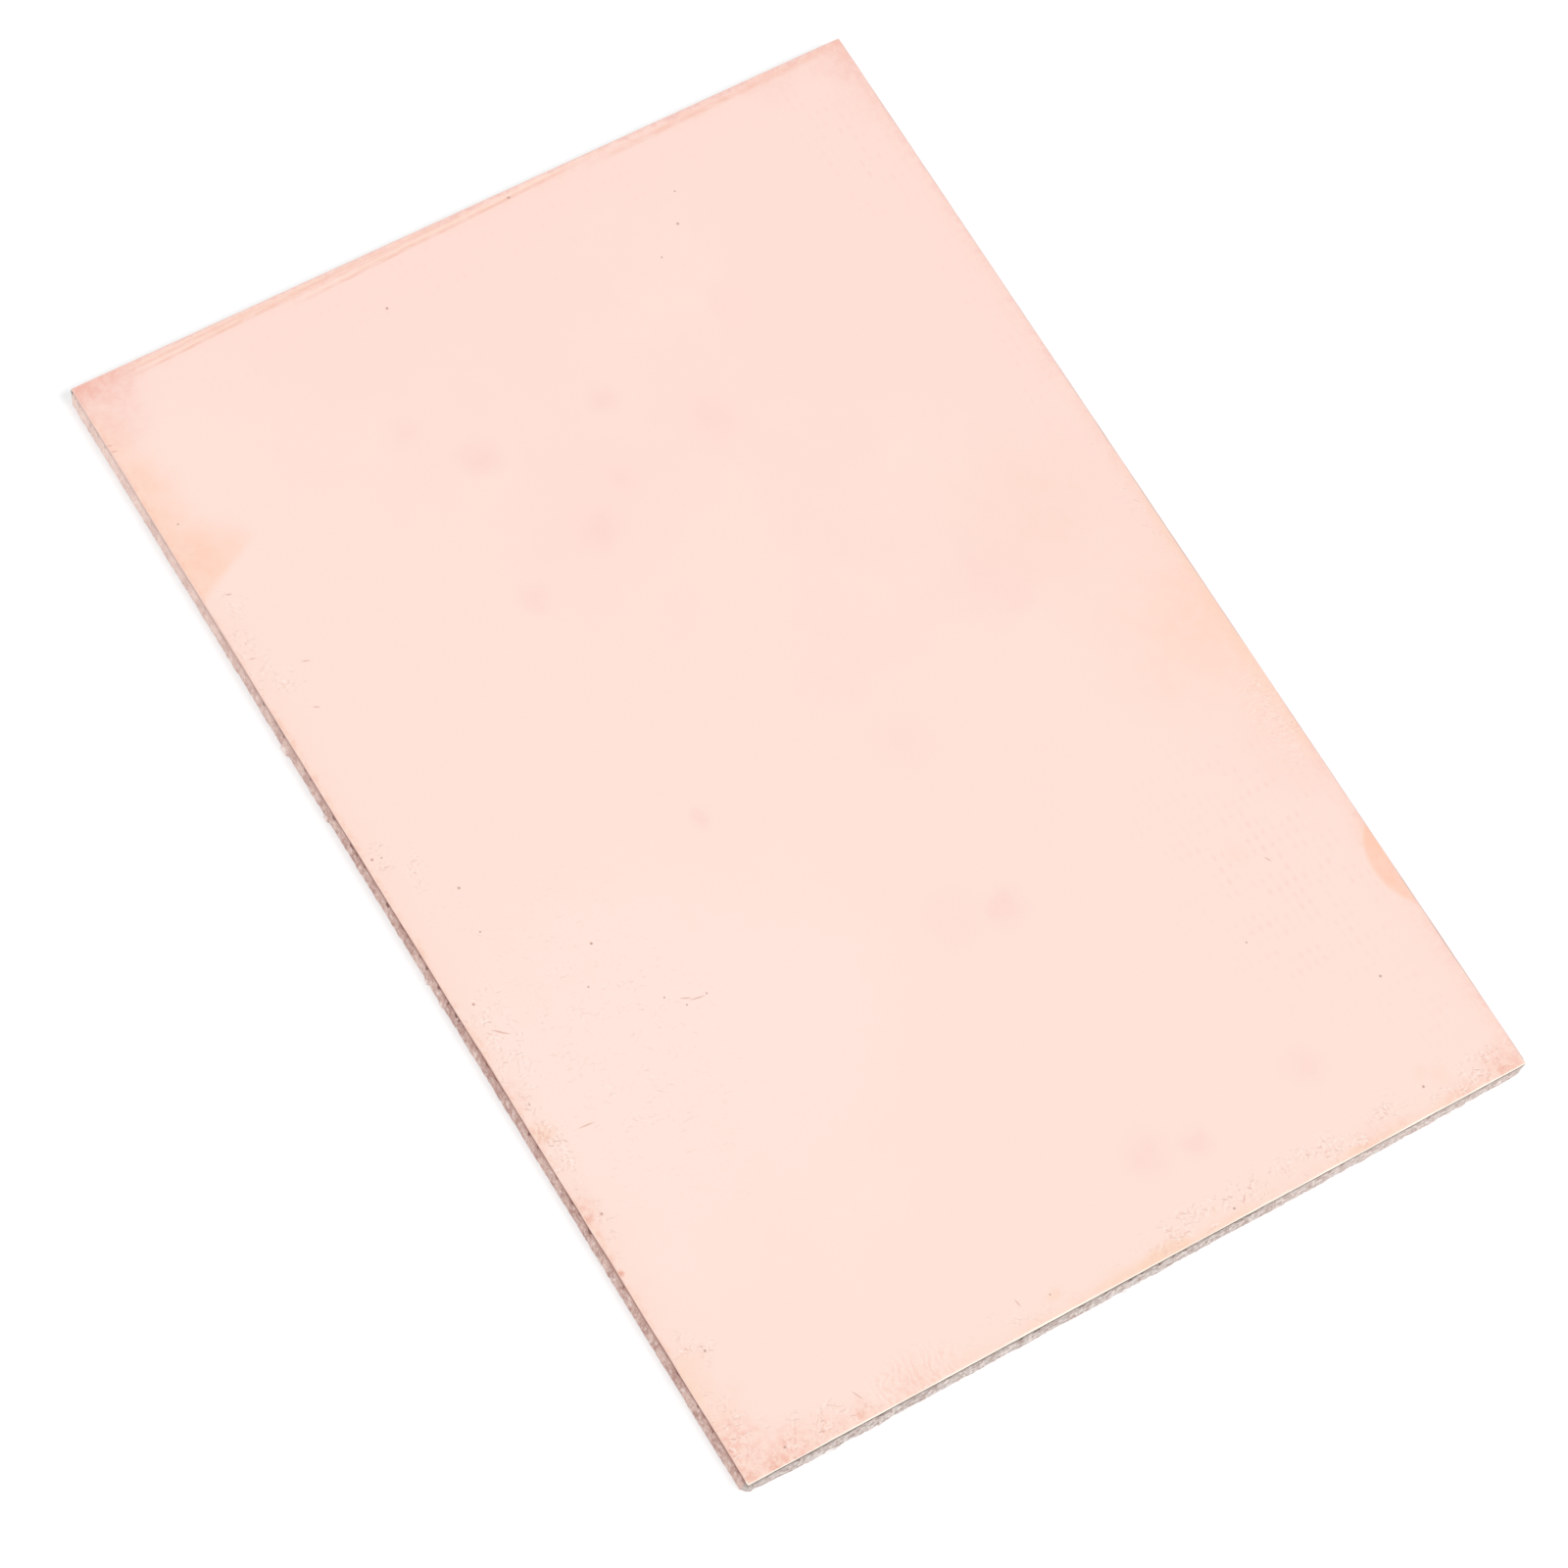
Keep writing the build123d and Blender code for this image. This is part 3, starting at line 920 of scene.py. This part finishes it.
def makeLaminateMaterial():
    look = laminateLook
    material = bpy.data.materials.new("glassEpoxySheared")
    add = emptyTree(material)
    place, (x, y, z), facing = boardPlace(add)
    end = add("Math", x, operation="ABSOLUTE")
    end = add("MapRange", end, *[halfX / mm - inset for inset in look["endInset"]])
    pale, shade, shearedAndShade, shadeUnder = [add("Mix", end, *look[name], data_type="RGBA")
                                        for name in ("pale", "shade", "shearedAndShade", "shadeUnder")]

    # the torn glass: yarns, strands and chips
    perMm = add("Mix", end, *look["yarnsPerMm"], data_type="VECTOR")
    yarns = stretchedNoise(add, place, perMm, *look["yarnNoise"])
    strands, chips, ragged, splits, blotches = [stretchedNoise(add, place, *look[name]) for name in
                                                ("strands", "chips", "ragged", "splits", "blotches")]
    layers = []
    for pattern, name, tint in ((yarns, "yarnRange", pale), (strands, "brightRange", look["glass"]),
                                (chips, "chipRange", look["glass"]), (strands, "darkRange", shadeUnder)):
        layers.append((add("MapRange", pattern, *look[name]), tint))

    # the tear starts darker, and the upright band above it is dark, partly burnished resin and partly painted shade,
    # with marks that hang down from it
    start = add("Math", ragged, *look["raggedDrift"], operation="MULTIPLY_ADD")
    start = add("Math", start, z, operation="ADD")
    layers.append((add("MapRange", start, *look["startRange"]), shadeUnder))
    hang = add("MapRange", yarns, *look["hangRange"])
    hang = add("Math", hang, z, operation="ADD")
    splits = add("MapRange", splits, *look["splitRange"])
    onSides = add("MapRange", end, 1.0, 0.0)
    hang = add("Math", splits, onSides, hang, operation="MULTIPLY_ADD")
    hang = add("Math", hang, add("Mix", end, *look["bandFoot"]), operation="SUBTRACT")
    band = add("MapRange", hang, *look["bandRange"])
    corner = add("VectorMath", place, look["cornerAt"], operation="DISTANCE")
    corner = add("MapRange", corner, *look["cornerRange"])
    layers.append((product(add, band, corner), shearedAndShade))

    # whitish fringe along the foot, painted light on stretches of the cut, and the lumps
    fringe = add("Math", strands, look["fringeDrift"], z, operation="MULTIPLY_ADD")
    fringe = add("MapRange", fringe, *look["fringeRange"])
    paintedLightBack = add("MapRange", x, *look["paintedLightBack"])
    paintedLightRight = add("MapRange", y, *look["paintedLightRight"])
    paintedLight = add("Mix", end, paintedLightBack, paintedLightRight)
    out, halfWidth, strength = look["lumpMark"]
    lumps = [(lumpX, -halfY / mm - out, halfSpan, halfWidth, strength)
             for lumpX, halfSpan, reach in laminateSettings["lumps"]]
    layers += [(fringe, look["torn"]), (paintedLight, look["paintedLight"]), (zoneMask(add, place, lumps), look["lump"])]

    # underside: smooth resin, the plain weave showing faintly
    under = add("MapRange", facing, *look["underRange"])
    weave = [sineRows(add, along, 2 * pitch) for along, pitch in zip((y, x), look["yarnPitch"])]
    weave = add("MapRange", product(add, *weave), -1.0, 1.0)
    shown = add("Math", weave, look["weaveShare"], blotches, operation="MULTIPLY_ADD")
    shown = add("MapRange", shown, *look["weaveRange"])
    layers.append((under, add("Mix", shown, *look["underside"], data_type="RGBA")))
    colour = layColours(add, shade, layers)
    rough = add("Mix", under, *look["roughness"])

    # fibres stand up on the cut, yarns swell the underside a little
    bumps = [add("Bump", *look[name], None, height)
             for name, height in (("fibreBump", strands), ("weaveBump", weave))]
    normal = add("Mix", under, *bumps, data_type="VECTOR")
    surface = add("BsdfPrincipled", colour, 0.0, rough, named={"Normal": normal})
    add("OutputMaterial", surface)
    return material


foil.data.materials.append(makeCopperMaterial())
laminate.data.materials.append(makeLaminateMaterial())
fibres.data.materials.append(laminate.data.materials[0])
print("materials made")


# Floor, light and camera

floorSettings = dict(
    size=3.0,
    sharpAngle=30,
    colour="#FFFFFF",
    ownGlow=0.45,
    gap=0.01 * mm,      # below the board, so that the two faces don't flicker
    reach=0.3 * mm,     # light reaches what rests on the floor from below, and a camera below sees through it
)
lightSettings = dict(
    skyForDiffuse=0.55,
    # the key and fill light the pale edges and the floor; the metal mirrors only the room and the strip
    lamps=dict(
        key=dict(at=(0.45, 0.35, 0.85), size=0.6, power=7.0, mirrored=False),
        fill=dict(at=(-0.2, -0.9, 0.9), size=0.9, power=5.0, mirrored=False),
        strip=dict(at=(0.38, 0.38, 0.84), size=0.3, power=0.09, mirrored=True),
    ),
)
cameraSettings = dict(
    azimuth=-50.63,      # degrees from +X
    elevation=63.80,
    roll=20.94,
    distance=0.5037,
    target=(3.81 * mm, -3.412 * mm, 1.6 * mm),
    sensor=36.0,
    lens=152.8,
    clip=(0.01, 10.0),
)


def makeFloor():
    settings = floorSettings
    mesh = bmesh.new()
    bmesh.ops.create_grid(mesh, x_segments=1, y_segments=1, size=settings["size"] / 2,
                          matrix=Matrix.Translation((0, 0, -settings["gap"])))
    floor = finishPiece(mesh, "floor", settings["sharpAngle"])
    material = bpy.data.materials.new("floorPaperWhite")
    add = emptyTree(material)
    path = add("LightPath")
    paper = add("BsdfDiffuse", settings["colour"])
    white = add("Emission", None, 1.0)
    seen = add("Math", path.outputs["Is Camera Ray"], settings["ownGlow"], operation="MULTIPLY")
    mirrored = add("Math", seen, path.outputs["Is Glossy Ray"], operation="MAXIMUM")
    mix = add("MixShader", mirrored, paper, white)
    near = add("Math", path.outputs["Ray Length"], settings["reach"], operation="LESS_THAN")
    near = add("Math", near, path.outputs["Is Diffuse Ray"], operation="MULTIPLY")
    below = add("NewGeometry").outputs["Backfacing"]
    clear = add("Math", near, below, operation="MAXIMUM")
    mix = add("MixShader", clear, mix, add("BsdfTransparent"))
    add("OutputMaterial", mix)
    floor.data.materials.append(material)


def makeWorld():
    world = bpy.data.worlds.new("whiteRoom")
    bpy.context.scene.world = world
    add = emptyTree(world)
    path = add("LightPath")
    seen = joinMasks(add, [path.outputs[f"Is {kind} Ray"] for kind in ("Camera", "Glossy", "Transmission")])
    strength = add("MapRange", seen, 0.0, 1.0, lightSettings["skyForDiffuse"], 1.0)
    sky = add("Background", (1, 1, 1, 1), strength)
    add("OutputWorld", sky)


def aimed(place, target):
    # a matrix at place that looks along -Z at target
    way = Vector(target) - Vector(place)
    return Matrix.Translation(place) @ way.to_track_quat("-Z", "Y").to_matrix().to_4x4()


def makeLamp(name, settings):
    lamp = bpy.data.lights.new(name, "AREA")
    lamp.shape = "DISK"
    lamp.size = settings["size"]
    lamp.energy = settings["power"]
    holder = bpy.data.objects.new(name, lamp)
    holder.matrix_world = aimed(settings["at"], (0, 0, 0))
    holder.visible_glossy = settings["mirrored"]
    bpy.context.scene.collection.objects.link(holder)


def makeCamera():
    settings = cameraSettings
    azimuth = math.radians(settings["azimuth"])
    elevation = math.radians(settings["elevation"])
    level = Vector((math.cos(azimuth), math.sin(azimuth), 0))
    back = level * math.cos(elevation) + Vector((0, 0, math.sin(elevation)))
    place = Vector(settings["target"]) + back * settings["distance"]
    lens = bpy.data.cameras.new("camera")
    lens.sensor_fit = "HORIZONTAL"
    lens.sensor_width = settings["sensor"]
    lens.lens = settings["lens"]
    lens.clip_start, lens.clip_end = settings["clip"]
    holder = bpy.data.objects.new("camera", lens)
    turn = Matrix.Rotation(math.radians(settings["roll"]), 4, "Z")
    holder.matrix_world = aimed(place, settings["target"]) @ turn
    bpy.context.scene.collection.objects.link(holder)
    bpy.context.scene.camera = holder


makeFloor()
makeWorld()
for lampName, lampSettings in lightSettings["lamps"].items():
    makeLamp(lampName, lampSettings)
makeCamera()
bpy.context.scene.view_settings.view_transform = "Standard"
print("floor, light and camera set")


# Hand the pieces to the frame

for piece, node in ((foil, "copper_foil"), (laminate, "laminate")):
    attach(piece, "root")
    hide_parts(node)
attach(fibres, "root")
